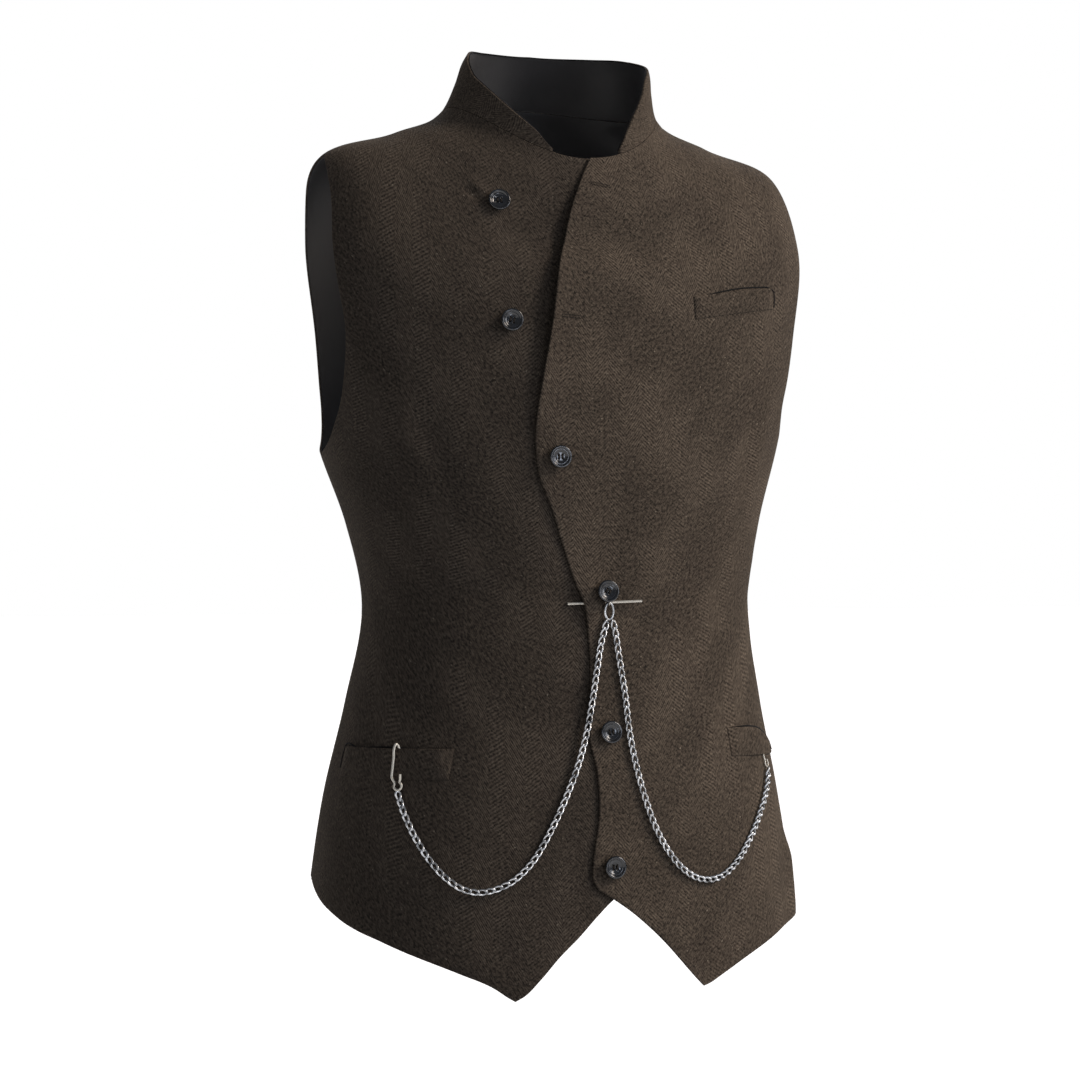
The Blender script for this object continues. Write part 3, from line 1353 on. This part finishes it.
def hook_points(name):
    """Points along a pocket hook: its shank, its ring and its tail."""
    x, z, out = HOOK_RINGS[name]
    angle, station = place(x * MM, z * MM)
    seat = local_frame(angle, station, out * MM)
    ring = [seat @ Vector((RING_R * math.sin(turn), RING_R * math.cos(turn), 0))
            for turn in np.radians(HOOK_TURN)]
    rows = np.vstack([hanging(HOOK_SHANKS[name])[:, :3], ring])
    if name in HOOK_TAILS:
        rows = np.vstack([rows, hanging(HOOK_TAILS[name])[:, :3]])
    return soft_route(rows, HOOK_POINTS)[0]


class VEST_OT_chains(bpy.types.Operator):
    """Make the two curb chains from the bar to the pockets, with their bail and hooks"""
    bl_idname = "vest.chains"
    bl_label = "Chains"

    def execute(self, context):
        chain = context.scene.vest_chain
        link = link_mesh(chain)
        for name, rows in (("chain_right", CHAIN_RIGHT), ("chain_left", CHAIN_LEFT)):
            _, length = soft_route(hanging(rows), LINE_POINTS)
            count = int(round(length / chain.pitch))
            line, length = soft_route(hanging(rows), 2 * count + 1)
            copies = []
            for k in range(1, 2 * count, 2):
                along = line[k + 1, :3] - line[k - 1, :3]
                along /= np.linalg.norm(along)
                normal = line[k, 3:] - along * np.dot(line[k, 3:], along)
                normal /= np.linalg.norm(normal)
                copies.append((link, frame_of(along, np.cross(normal, along), normal,
                                              line[k, :3])))
            thing = add_piece(name + "_links", gather(copies), ["steel"])
            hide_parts(name)
        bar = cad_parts["chain_bar"]
        bar.data.materials.clear()
        bar.data.materials.append(material_of("nickel"))
        wires = {"chain_bail": (bail_points(), BAIL_WIRE_R, True, "steel"),
                 "hook_right": (hook_points("hook_right"), HOOK_WIRE_R, False, "nickel"),
                 "hook_left": (hook_points("hook_left"), THIN_HOOK_R, False, "nickel")}
        for name, (points, radius, closed, metal) in wires.items():
            bent = gather([tube(points, radius, closed=closed, sides=WIRE_SIDES)])
            thing = add_piece(name + "_wire", bent, [metal])
            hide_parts(name)
        return {"FINISHED"}


FACING = 20              # cells of tweed facing inside the front edge
HEM_TURNING = 9          # and up from the hem
FRONT_SHAPE = {"side": 15 * FINE, "armhole": 15 * FINE, "hem_outer": 11 * FINE,
               "hem_inner": 7 * FINE, "shoulder": 8 * FINE, "neck": 2 * FINE}
BACK_SHAPE = {"side": 14 * FINE, "armhole": 15 * FINE, "shoulder": 8 * FINE}


def declare(name):
    """Say what cloth the piece is, how it was cut and which node it stands for."""
    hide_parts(name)


def front_edges(columns, rows):
    """Names the kind of a front's edge at a place on its grid."""
    def kind(column, row):
        if row == rows:
            return "free" if column > columns - FRONT_SHAPE["neck"] else "sewn"
        return "sewn" if column == 0 and row < FRONT_SHAPE["side"] else "free"
    return kind


class VEST_OT_fronts(bpy.types.Operator):
    """Cut and lay both fronts, the left one lapped over the right one"""
    bl_idname = "vest.fronts"
    bl_label = "Fronts"

    def execute(self, context):
        for name, tweed in (("right", "tweed_under"), ("left", "tweed")):
            grid = front_patch(name, FRONT_SHAPE)
            columns, rows = grid.shape[0] - 1, grid.shape[1] - 1
            height = HEIGHTS[name]
            thing = shell("front_" + name + "_cloth", grid, height, wall_below(height), 0.0,
                          [tweed, "lining"], front_edges(columns, rows),
                          lambda column, row, last=columns: column > last - FACING
                          or row < HEM_TURNING)
            declare("front_" + name)
        return {"FINISHED"}


class VEST_OT_back(bpy.types.Operator):
    """Cut and lay the back"""
    bl_idname = "vest.back"
    bl_label = "Back"

    def execute(self, context):
        grid = back_patch(BACK_SHAPE)
        rows = grid.shape[1] - 1
        underarm = BACK_SHAPE["side"]

        def kind(column, row):
            return "free" if row == 0 or underarm < row < rows else "sewn"

        thing = shell("back_cloth", grid, flat_height, wall_below(flat_height), BACK_MIDDLE,
                      ["tweed", "lining"], kind, lambda column, row: row < HEM_TURNING)
        declare("back")
        return {"FINISHED"}


COLLAR_ROWS = 4
TAPERED = 4              # grid columns at each end of the collar, too narrow to roll


class VEST_OT_collar(bpy.types.Operator):
    """Make the stand collar"""
    bl_idname = "vest.collar"
    bl_label = "Collar"

    def execute(self, context):
        grid = collar_patch(COLLAR_ROWS * FINE)
        last = grid.shape[0] - 1

        def kind(column, row):
            if column < TAPERED or column > last - TAPERED:
                return "tapered"
            return "sewn" if row == 0 else "free"

        thing = shell("collar_cloth", grid, collar_height, wall_below(collar_height),
                      BACK_MIDDLE, ["tweed_round", "lining"], kind)
        declare("collar")
        return {"FINISHED"}


WELT_ACROSS, WELT_UP = 46, 12
WELT_SHIFT = (0.0, 1.2 * MM)         # the welts' weave doesn't quite match their front's
ROUND_FROM = 0.40        # share of the left hip welt from which its top edge falls
ROUND_POWER = 2.2
LEFT_WELT_DROOP = 15 * MM
MOUTH_SHARE = 0.6        # the mouths gape this much of the solids' gap
END_SHARE = 0.55         # and the loose end this much of its own
WELT_SEWN = 0.12         # share of its length that a sewn end holds down
WELT_FOOT_WALL = 0.20 * MM           # a welt thins to this at its foot and sewn ends
FOOT_THIN = 0.45         # share of its height over which it does so
INNER_THIN = {True: 0.30, False: 0.07}     # and of its length, with a loose outer end or not
OUTER_THIN = 0.05


def welt_grid(corners, across, up, droop):
    """Grid of a welt between its four corners, its outer top corner worn round."""
    lower_inner, lower_outer, upper_outer, upper_inner = [np.array(c) for c in corners]
    u = np.linspace(0, 1, across + 1)[:, None, None]
    v = np.linspace(0, 1, up + 1)[None, :, None]
    flat = ((1 - v) * ((1 - u) * lower_inner + u * lower_outer)
            + v * ((1 - u) * upper_inner + u * upper_outer))
    late = np.clip((u - ROUND_FROM) / (1 - ROUND_FROM), 0, 1)[..., 0]
    flat[..., 1] -= droop / MM * v[..., 0] * late ** ROUND_POWER
    return degrees_and_z(flat.reshape(-1, 2)).reshape(across + 1, up + 1, 2)


def along_welt(corners, angle):
    """Share of a welt's length, from its inner end."""
    inner, outer = math.radians(corners[0][0]), math.radians(corners[1][0])
    return np.clip((angle - inner) / (outer - inner), 0, 1)


def welt_inner(name, angle, station):
    """Inner face of a welt over the form."""
    front, corners, mouth, end = WELTS[name]
    foot_z = min(corner[1] for corner in corners) * MM
    tall = max(corner[1] for corner in corners) * MM - foot_z
    rise = np.clip((form(angle, station)[..., 2] - foot_z) / tall, 0, 1)
    along = along_welt(corners, angle)
    loose = END_SHARE * end * fade((along - WELT_LOOSE[0]) / (WELT_LOOSE[1] - WELT_LOOSE[0]))
    sewn = fade(along / WELT_SEWN) * (1.0 if end else fade((1 - along) / WELT_SEWN))
    return (HEIGHTS[front](angle, station) + SEAM / 2
            + np.maximum(mouth * rise * sewn * MOUTH_SHARE, loose))


def welt_outer(name, angle, station):
    """Outer face of a welt, thinned where it goes into its seams."""
    _, corners, _, end = WELTS[name]
    foot = sum(corner[1] for corner in corners[:2]) / 2 * MM
    head = sum(corner[1] for corner in corners[2:]) / 2 * MM
    along = along_welt(corners, angle)
    slant = (corners[1][1] - corners[0][1]) * MM * (along - 0.5)
    rise = (form(angle, station)[..., 2] - slant - foot) / (head - foot)
    full = fade(rise / FOOT_THIN) * fade(along / INNER_THIN[end > 0])
    if not end:
        full = full * fade((1 - along) / OUTER_THIN)
    wall = WELT_FOOT_WALL + (WELT_WALL - WELT_FOOT_WALL) * full
    return welt_inner(name, angle, station) + wall


class VEST_OT_welts(bpy.types.Operator):
    """Make the breast welt and the two hip welts"""
    bl_idname = "vest.welts"
    bl_label = "Welts"

    def execute(self, context):
        for name, (front, corners, _, end) in WELTS.items():
            droop = LEFT_WELT_DROOP if end else 0.0
            thing = shell(name + "_cloth", welt_grid(corners, WELT_ACROSS, WELT_UP, droop),
                          lambda a, t, name=name: welt_outer(name, a, t),
                          lambda a, t, name=name: welt_inner(name, a, t), 0.0,
                          ["tweed_under" if front == "right" else "tweed", "lining"],
                          lambda column, row, end=end: "tapered" if row == 0 or column == 0
                          or (not end and column == WELT_ACROSS) else "free",
                          lambda column, row: True, shift=WELT_SHIFT)
            declare(name)
        return {"FINISHED"}


# Dark edge of each pocket's mouth: its front, half width in mm, lift in mm, and
# the degrees and z in mm along it. The left hip's is the bound edge of its welt.
MOUTHS = (
    ("left", 0.62, 0.0, ((36.5, -126.9), (42.0, -123.5), (49.0, -119.3), (56.0, -116.9),
                         (60.0, -116.6), (61.3, -118.5), (61.4, -126.0), (61.2, -131.0))),
    ("right", 0.62, 0.0, ((-51.0, -458.3), (-60.0, -459.4), (-70.0, -459.2), (-79.0, -460.8),
                          (-85.6, -460.3), (-86.1, -468.0), (-85.9, -477.0))),
    ("left", 0.95, 2.1, ((50.0, -448.4), (56.7, -448.9), (61.1, -450.6), (65.6, -455.8),
                         (67.8, -459.9), (69.6, -464.4), (70.2, -469.0))),
)
MOUTH_TAPER = 0.22       # share of a mouth over which it thins out at its start
MOUTH_THINNEST = 0.25    # of its width, at its very start
MOUTH_POINTS = 40
EDGE_R = 0.55 * MM       # edge of the collar's lining, and the tapes behind the side seams
TAPE_SHORT = 2.0 * MM    # a tape ends this far over the hem
EDGE_SIDES = 6


class VEST_OT_dark_edges(bpy.types.Operator):
    """Lay the dark edges of the pocket mouths and the collar, and tape the side seams"""
    bl_idname = "vest.dark_edges"
    bl_label = "Dark edges"

    def execute(self, context):
        mouths = []
        for front, half, rise, rows in MOUTHS:
            angle, station = soft_line(degrees_and_z(rows), MOUTH_POINTS).T
            thin = np.clip(np.linspace(0, 1, MOUTH_POINTS) / MOUTH_TAPER, MOUTH_THINNEST, 1)
            points = on_cloth(HEIGHTS[front], angle, station, rise * MM * thin)
            mouths.append(tube(points, half * MM, sides=EDGE_SIDES, swell=thin))
        edge = collar_patch(COLLAR_ROWS * FINE)[:, -1]
        points = on_cloth(collar_height, edge[:, 0], edge[:, 1], -WALL)
        collar = [tube(points, EDGE_R, sides=EDGE_SIDES)]
        tapes = []
        for side, column in ((-1, 1), (1, 2)):
            seam = side_seam(side, HEM_TO_POINT[0][column] * MM + TAPE_SHORT)
            angle, station = spread(seam, LINE_POINTS).T
            points = on_cloth(flat_height, angle, station, -WALL)
            tapes.append(tube(points, EDGE_R, sides=EDGE_SIDES))
        for name, wires in (("pocket_mouths", mouths), ("collar_lining_edge", collar),
                            ("side_seam_tapes", tapes)):
            add_piece(name, gather(wires), ["lining_edge"])
        return {"FINISHED"}


# Half section of a button over its shank: radius and height in mm.
BUTTON_SECTION = ((0.0, 1.75), (2.6, 1.76), (4.2, 1.82), (4.8, 2.05), (5.25, 2.40), (5.6, 2.30),
                  (5.9, 2.32), (6.2, 2.75), (6.6, 3.20), (7.0, 3.38), (7.4, 3.40), (7.8, 3.26),
                  (8.08, 2.96), (8.2, 2.55), (8.15, 1.9), (7.7, 1.1), (6.8, 0.35), (5.6, 0.0),
                  (0.0, 0.0))
STRANDS = 3              # strands of thread over each bar of the sewing
STRAND_R = 0.26 * MM
STRAND_Z = 1.75          # in mm, where the strands leave the dish
STRAND_ARCH = 0.62       # and how high they arch between two holes
STRAND_DIVE = 0.6 * MM   # and dive into them
THREAD_SHANK_R = 1.5 * MM
HOLE_SIDES = 12
BUTTON_TURNS = {"button_1": 0.3, "button_2": -0.2, "button_3": 0.06, "button_4": -0.5,
                "button_5": 0.1, "button_6": 0.04}       # radians, of the holes' square


def turned_button(settings):
    """A dished button with four holes through it."""
    bm = bmesh.new()
    rows = [bm.verts.new((r * MM, 0.0, h * MM)) for r, h in BUTTON_SECTION]
    lines = [bm.edges.new(pair) for pair in zip(rows, rows[1:])]
    bmesh.ops.spin(bm, geom=rows + lines, cent=(0, 0, 0), axis=(0, 0, 1), dvec=(0, 0, 0),
                   angle=2 * math.pi, steps=settings.steps, use_merge=True)
    bmesh.ops.remove_doubles(bm, verts=bm.verts[:], dist=0.00001)
    bmesh.ops.recalc_face_normals(bm, faces=bm.faces[:])
    button = add_piece("turned", bm, ["resin"], body=None)
    cutters = bmesh.new()
    for x in (-1, 1):
        for y in (-1, 1):
            where = Matrix.Translation((x * settings.hole_gap, y * settings.hole_gap, 2 * MM))
            bmesh.ops.create_cone(cutters, cap_ends=True, segments=HOLE_SIDES,
                                  radius1=settings.hole, radius2=settings.hole,
                                  depth=8 * MM, matrix=where)
    cutter = add_piece("cutter", cutters, ["resin"], body=None)
    drilled = button.modifiers.new("drilled", "BOOLEAN")
    drilled.object = cutter
    drilled.operation = "DIFFERENCE"
    drilled.solver = "EXACT"
    mesh = evaluated(button)
    for spare in (button, cutter):
        bpy.data.objects.remove(spare)
    return mesh


def strand_meshes(settings):
    """The two bars of thread that show in the dish, and the shank below."""
    strands = []
    gap = settings.hole_gap
    for x in (-1, 1):
        for k in range(STRANDS):
            aside = (k - 1) * 1.5 * STRAND_R
            arc = [(x * gap + aside, gap * y,
                    (STRAND_Z + STRAND_ARCH * (1 - y * y)) * MM - STRAND_DIVE * abs(y) ** 6)
                   for y in np.linspace(-1, 1, 9)]
            strands.append(tube(arc, STRAND_R, sides=6))
    bm = bmesh.new()
    bmesh.ops.create_cone(bm, cap_ends=True, segments=16, radius1=THREAD_SHANK_R * 1.15,
                          radius2=THREAD_SHANK_R, depth=1.0)
    bmesh.ops.translate(bm, vec=(0, 0, -0.5), verts=bm.verts[:])
    shank = bpy.data.meshes.new("shank")
    bm.to_mesh(shank)
    bm.free()
    return strands, shank


class VEST_OT_buttons(bpy.types.Operator):
    """Turn the six buttons and sew them on"""
    bl_idname = "vest.buttons"
    bl_label = "Buttons"

    def execute(self, context):
        settings = context.scene.vest_buttons
        button = turned_button(settings)
        strands, shank_mesh = strand_meshes(settings)
        threads = []
        for name, (x, z, front, shank, tilt, extra) in BUTTONS.items():
            angle, station = place(x * MM, z * MM)
            lift = SEAM + extra * MM + SHANK_R * math.sin(math.radians(tilt))
            base = float(HEIGHTS[front](angle, station) + creased(angle, station))
            seat = (local_frame(angle, station, base + lift)
                    @ Matrix.Rotation(math.radians(-tilt), 4, "X"))
            top = seat @ Matrix.Translation((0, 0, shank * MM))
            spin = Matrix.Rotation(BUTTON_TURNS[name], 4, "Z")
            thing = add_piece(name + "_resin", gather([(button, top @ spin)]), ["resin"])
            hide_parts(name)
            threads += [(strand, top @ spin) for strand in strands]
            threads.append((shank_mesh, top @ Matrix.Diagonal((1, 1, shank * MM + lift, 1))))
        add_piece("button_threads", gather(threads), ["thread"])
        return {"FINISHED"}


# Buttonholes of the left front: x and z of the middle in mm, and tilt in degrees.
BUTTONHOLES = ((6.0, -45.6, -7.0), (-27.6, -145.6, -2.0), (-38.0, -247.3, -2.0),
               (0.4, -353.4, 2.2), (-2.0, -448.6, 0.0), (4.0, -546.0, 0.0))
HOLE_HALF_LONG = 8.4 * MM
HOLE_STITCHES = 34
STITCH_REACH = 1.5 * MM
STITCH_R = 0.26 * MM
STITCH_LONG = 1.1        # a stitch runs this much past its two ends
STITCH_NEAR = 0.15 * MM
STITCH_END = 0.35        # the hole's ends are this share as wide as its middle
STITCH_RISE = 0.12 * MM


class VEST_OT_buttonholes(bpy.types.Operator):
    """Work the stitched buttonholes of the left front"""
    bl_idname = "vest.buttonholes"
    bl_label = "Buttonholes"

    def execute(self, context):
        bead = bmesh.new()
        bmesh.ops.create_icosphere(bead, subdivisions=1, radius=1.0)
        stitch = bpy.data.meshes.new("stitch")
        bead.to_mesh(stitch)
        bead.free()
        half = HOLE_STITCHES // 2
        share = np.tile(np.linspace(-1, 1, half), 2)
        side = np.repeat((1.0, -1.0), half)
        far = STITCH_REACH * (STITCH_END
                              + (1 - STITCH_END) * np.sqrt(1 - np.abs(share) ** 6))
        copies = []
        for x, z, tilt in BUTTONHOLES:
            turn = math.radians(tilt)
            ends = []
            for reach in (STITCH_NEAR, far):
                along, aside = share * HOLE_HALF_LONG, side * reach
                angle, station = place(
                    x * MM + along * math.cos(turn) - aside * math.sin(turn),
                    z * MM + along * math.sin(turn) + aside * math.cos(turn))
                ends.append(on_cloth(left_height, angle, station, STITCH_RISE))
            normals = outward(angle, station)
            for near, away, normal in zip(*ends, normals):
                way = (away - near) / 2
                across = np.cross(normal, way)
                across *= STITCH_R / np.linalg.norm(across)
                copies.append((stitch, frame_of(way * STITCH_LONG, across, normal * STITCH_R,
                                                (near + away) / 2)))
        add_piece("buttonhole_stitches", gather(copies), ["thread"])
        return {"FINISHED"}


# Where the lights stand, in metres; they shine at the vest's middle.
KEY_FROM = (2.02, -1.07, 1.35)
FILL_FROM = (2.02, -1.95, 0.5)
FILL_SIZE = 1.1
GLINT_FROM = (0.39, -2.38, -0.29)
GLINT_SIZE = 0.36
BACK_FROM = (1.1, 2.2, 1.5)
SUN_SOFTNESS = 0.35      # radians across
VEST_MIDDLE = (0, 0, -0.3)
FLOOR_REACH = 40.0


class VEST_OT_stage(bpy.types.Operator):
    """Lay the floor and set the lights"""
    bl_idname = "vest.stage"
    bl_label = "Stage"

    def execute(self, context):
        stage = context.scene.vest_stage
        bm = bmesh.new()
        bmesh.ops.create_grid(bm, x_segments=8, y_segments=8, size=FLOOR_REACH)
        bmesh.ops.translate(bm, vec=(0, 0, stage.floor_z), verts=bm.verts[:])
        floor = add_piece("floor", bm, ["paper"], body=None)
        floor.visible_diffuse = False        # its glow doesn't light the cloth from below
        for name, spot, power, colour, size in (
                ("key_light", KEY_FROM, stage.key, "#fff1e3", None),
                ("back_light", BACK_FROM, stage.back, "#fbfaff", None),
                ("fill_light", FILL_FROM, stage.fill, "#f6f8ff", FILL_SIZE),
                ("glint_light", GLINT_FROM, stage.glint, "#e2ecff", GLINT_SIZE)):
            data = bpy.data.lights.new(name, "AREA" if size else "SUN")
            if size:
                data.size = size
            else:
                data.angle = SUN_SOFTNESS
            data.energy = power
            data.color = linear(colour)[:3]
            light = bpy.data.objects.new(name, data)
            light.location = spot
            aim = Vector(VEST_MIDDLE) - Vector(spot)
            light.rotation_euler = aim.to_track_quat("-Z", "Y").to_euler()
            context.scene.collection.objects.link(light)
        world = bpy.data.worlds.new("white_surroundings")
        world.use_nodes = True
        tree = world.node_tree
        tree.nodes.clear()
        seen = add(tree, "LightPath", out="Is Camera Ray")
        strength = add(tree, "MapRange", (seen, 0.0, 1.0, stage.ambient, 1.0), **SOFT)
        colour = add(tree, "Mix", {0: seen, 6: linear("#eef1fa"), 7: linear("#ffffff")},
                     **COLOURS)
        glow = add(tree, "Background", {"Color": colour, "Strength": strength})
        add(tree, "OutputWorld", {"Surface": glow})
        context.scene.world = world
        context.scene.view_settings.view_transform = "Standard"
        return {"FINISHED"}


OPERATORS = (VEST_OT_camera, VEST_OT_chains, VEST_OT_fronts, VEST_OT_back, VEST_OT_collar,
             VEST_OT_welts, VEST_OT_dark_edges, VEST_OT_buttons, VEST_OT_buttonholes,
             VEST_OT_stage)
GROUPS = {"vest_camera": VestCamera, "vest_cloth": VestCloth, "vest_chain": VestChain,
          "vest_buttons": VestButtons, "vest_stage": VestStage}


class VEST_PT_panel(bpy.types.Panel):
    """The vest's pieces and their sizes"""
    bl_label = "Tweed vest"
    bl_idname = "VEST_PT_panel"
    bl_space_type = "VIEW_3D"
    bl_region_type = "UI"
    bl_category = "Vest"

    def draw(self, context):
        for group in GROUPS:
            box = self.layout.box()
            settings = getattr(context.scene, group)
            for name in settings.bl_rna.properties.keys():
                if name not in ("rna_type", "name"):
                    box.prop(settings, name)
        for operator in OPERATORS:
            self.layout.operator(operator.bl_idname)


CLASSES = (*GROUPS.values(), *OPERATORS, VEST_PT_panel)


def register():
    for each in CLASSES:
        bpy.utils.register_class(each)
    for name, group in GROUPS.items():
        setattr(bpy.types.Scene, name, bpy.props.PointerProperty(type=group))


def unregister():
    for name in GROUPS:
        delattr(bpy.types.Scene, name)
    for each in reversed(CLASSES):
        bpy.utils.unregister_class(each)


def main():
    register()
    for operator in OPERATORS:
        group, name = operator.bl_idname.split(".")
        getattr(getattr(bpy.ops, group), name)()


if __name__ == "__main__":
    main()
